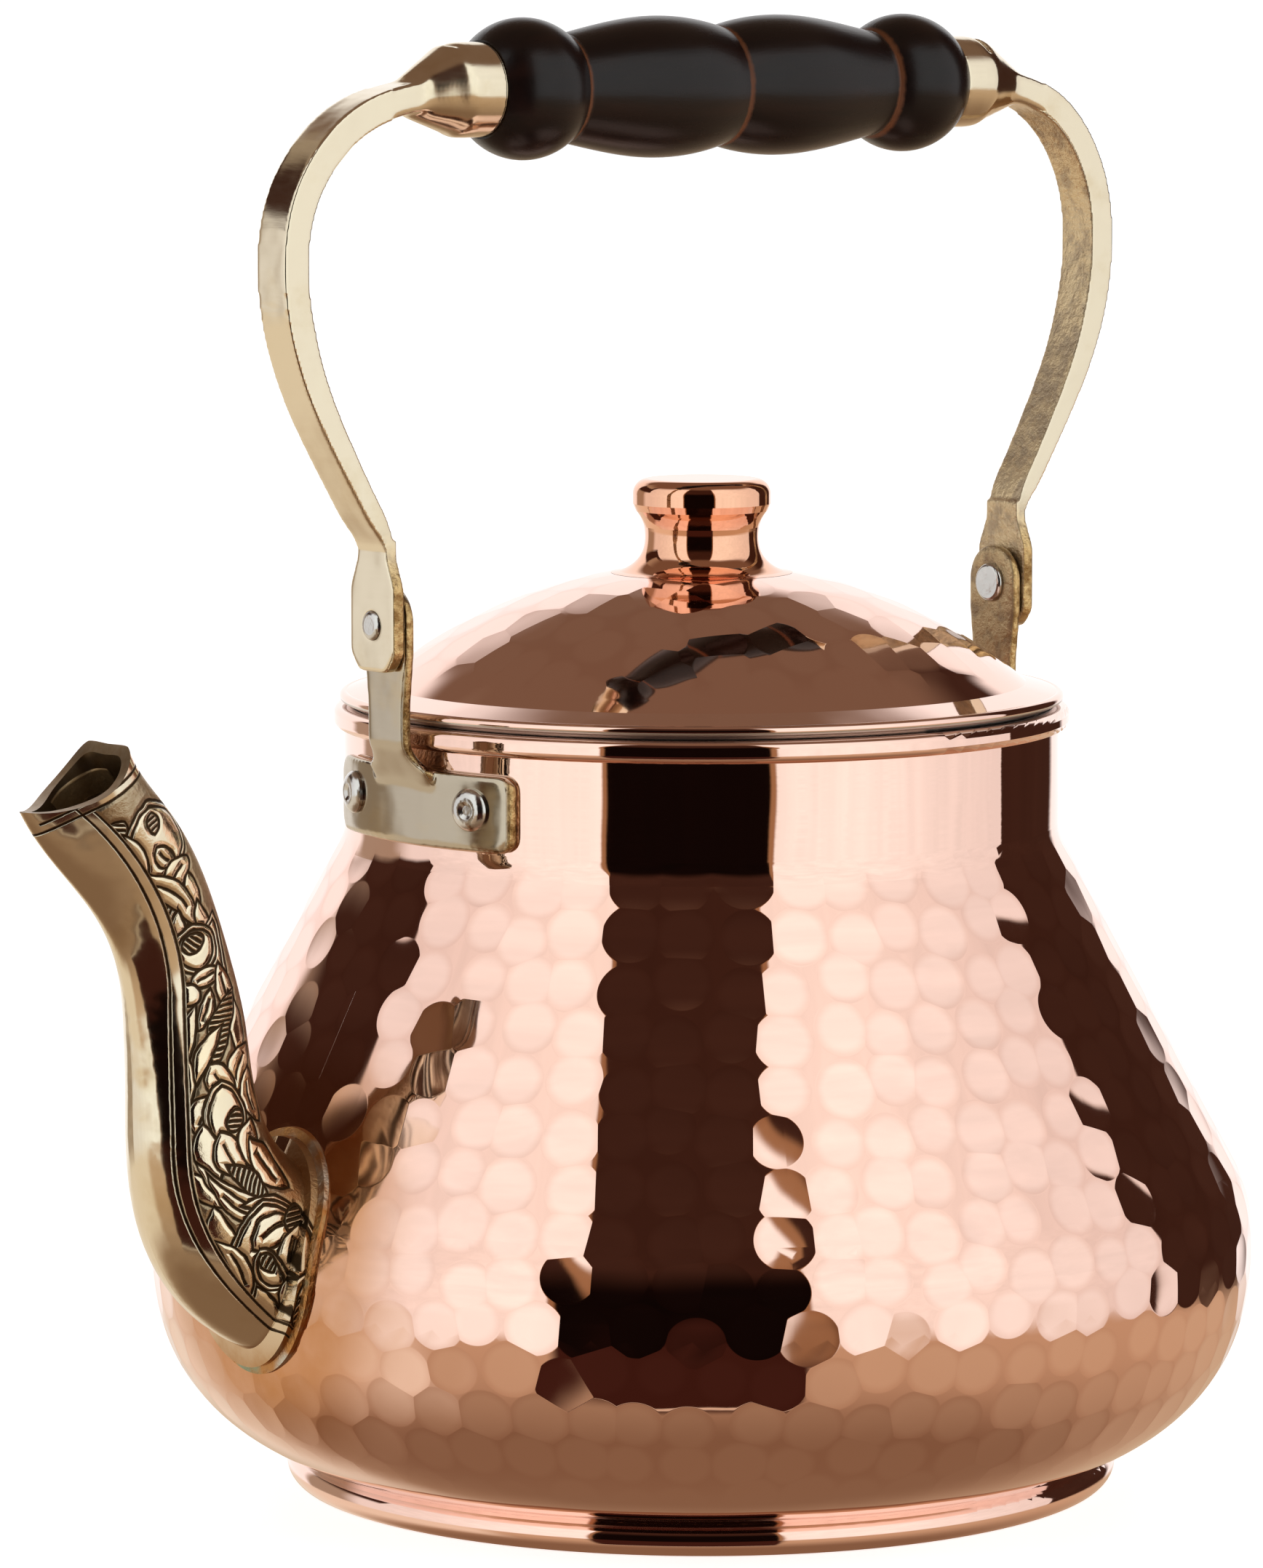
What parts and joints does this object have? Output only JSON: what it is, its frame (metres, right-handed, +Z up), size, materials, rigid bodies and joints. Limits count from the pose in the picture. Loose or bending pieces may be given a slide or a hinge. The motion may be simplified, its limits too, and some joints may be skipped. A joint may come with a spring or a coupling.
{
  "type": "kettle",
  "caption": "Stovetop tea kettle with a hammered pot-bellied body, domed lift-off lid, cast curved spout and a folding bail handle with a turned wooden grip.",
  "frame": {"origin": "centre of the flat underside of the base, on the axis the body is turned about", "axes": "+Z up along the body axis; the spout points to -X; the bail stands in the XZ plane and swings about X"},
  "size_m": [0.2357, 0.1914, 0.2529],
  "materials": {
    "copper_body": "polished, hammered",
    "copper_base": "polished",
    "copper_lid": "polished, hammered",
    "brass_spout": "cast and polished, with a chased panel on each flank",
    "brass_fittings": "cast, faces polished, edges left rough",
    "copper_knob": "turned and polished",
    "solder": "dull tin solder",
    "steel_pins": "bright, hammered heads",
    "steel_wire": "plain drawn wire",
    "dark_wood": "turned, dark stained, satin lacquer"
  },
  "bodies": {
    "vessel": {"body_shell": "copper_body", "base_pan": "copper_base", "rim_wire": "steel_wire", "spout": "brass_spout", "spout_solder": "solder", "front_bracket": "brass_fittings", "rear_bracket": "brass_fittings", "front_bracket_rivets": "steel_pins", "rear_bracket_rivets": "steel_pins", "front_pivot_rivet": "steel_pins", "rear_pivot_rivet": "steel_pins"},
    "bail": {"front_arm": "brass_fittings", "rear_arm": "brass_fittings", "grip": "dark_wood", "tie_rod": "steel_wire"},
    "lid": {"lid_shell": "copper_lid", "lid_collar": "copper_lid", "lid_knob": "copper_knob", "knob_washer": "steel_pins", "knob_screw": "steel_pins"}
  },
  "joints": [
    {"name": "bail_swing", "type": "hinge", "parent": "vessel", "child": "bail", "pos_m": [0, 0, 0.152], "axis": [1, 0, 0], "range_deg": [-115, 115]},
    {"name": "lid_lift", "type": "slide", "parent": "vessel", "child": "lid", "axis": [0, 0, 1], "range_m": [0, 0.054]}
  ]
}
